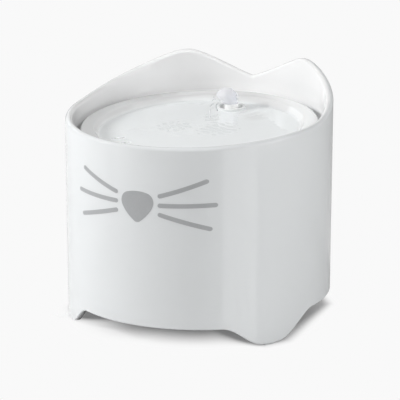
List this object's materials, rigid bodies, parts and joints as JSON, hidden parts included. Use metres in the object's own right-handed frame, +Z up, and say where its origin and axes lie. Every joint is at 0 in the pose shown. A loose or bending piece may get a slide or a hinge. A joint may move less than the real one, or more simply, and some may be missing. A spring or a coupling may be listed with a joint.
{
  "type": "pet water fountain",
  "caption": "Round pet water fountain with cat-ear rim, sloping drinking tray, lift-out tank, filter box and submersible pump with a spout.",
  "frame": {"origin": "on the floor, under the middle of the round body", "axes": "+Z up, the cat face looks along -Y, +X to the right of someone who faces the fountain"},
  "size_m": [0.18, 0.1802, 0.1665],
  "materials": {
    "white_shell": "glossy white moulded plastic",
    "clear_silicone": "soft milky silicone",
    "grey_print": "flat grey printed film",
    "white_tray": "glossy white moulded plastic",
    "tank_plastic": "smooth pale grey moulded plastic",
    "grey_rubber": "soft matt grey rubber",
    "box_plastic": "pale smoky moulded plastic",
    "frame_plastic": "satin white moulded plastic",
    "cotton": "white felted filter cotton",
    "carbon": "black activated carbon granules",
    "pump_plastic": "satin black moulded plastic",
    "cover_plastic": "satin dark grey moulded plastic",
    "dial_plastic": "satin grey moulded plastic",
    "impeller_plastic": "smooth white moulded plastic",
    "ferrite": "dark grey sintered ferrite",
    "shaft_ceramic": "polished ivory ceramic",
    "clear_plastic": "clear wet plastic and water"
  },
  "bodies": {
    "housing": {"housing": "white_shell", "foot_pads": "clear_silicone", "nose_print": "grey_print", "whisker_prints": "grey_print"},
    "tank": {"water_tank": "tank_plastic", "cable_grommet": "grey_rubber"},
    "tray": {"drinking_tray": "white_tray"},
    "filter_box": {"filter_box": "box_plastic"},
    "cartridge": {"cartridge_frame": "frame_plastic", "cotton_pad_front": "cotton", "cotton_pad_rear": "cotton", "carbon_core": "carbon"},
    "pump": {"pump_body": "pump_plastic", "suction_cups": "grey_rubber", "impeller_shaft": "shaft_ceramic", "rear_bush": "grey_rubber", "riser_tube": "box_plastic"},
    "pump_cover": {"pump_cover": "cover_plastic", "front_bush": "grey_rubber"},
    "flow_dial": {"flow_dial": "dial_plastic"},
    "rotor": {"impeller": "impeller_plastic", "rotor_magnet": "ferrite"},
    "nozzle": {"spout_collar": "white_tray", "bubbler_cap": "clear_plastic"}
  },
  "joints": [
    {"name": "tank_lift", "type": "slide", "parent": "housing", "child": "tank", "axis": [0, 0, 1], "range_m": [0, 0.15]},
    {"name": "tray_lift", "type": "slide", "parent": "tank", "child": "tray", "axis": [0, 0, 1], "range_m": [0, 0.06]},
    {"name": "box_lift", "type": "slide", "parent": "tank", "child": "filter_box", "axis": [0, 0, 1], "range_m": [0, 0.02]},
    {"name": "cartridge_lift", "type": "slide", "parent": "filter_box", "child": "cartridge", "axis": [0, 0, 1], "range_m": [0, 0.016]},
    {"name": "pump_lift", "type": "slide", "parent": "filter_box", "child": "pump", "axis": [0, 0, 1], "range_m": [0, 0.02]},
    {"name": "cover_twist", "type": "hinge", "parent": "pump", "child": "pump_cover", "pos_m": [0, 0.058, 0.051], "axis": [0, 1, 0], "range_deg": [0, 20]},
    {"name": "dial_turn", "type": "hinge", "parent": "pump_cover", "child": "flow_dial", "pos_m": [0, 0.061, 0.051], "axis": [0, 1, 0], "range_deg": [0, 30]},
    {"name": "impeller_spin", "type": "hinge", "parent": "pump", "child": "rotor", "pos_m": [0, 0.05, 0.051], "axis": [0, 1, 0], "continuous": true},
    {"name": "nozzle_pull", "type": "slide", "parent": "pump", "child": "nozzle", "axis": [0, 0, 1], "range_m": [0, 0.012]}
  ]
}
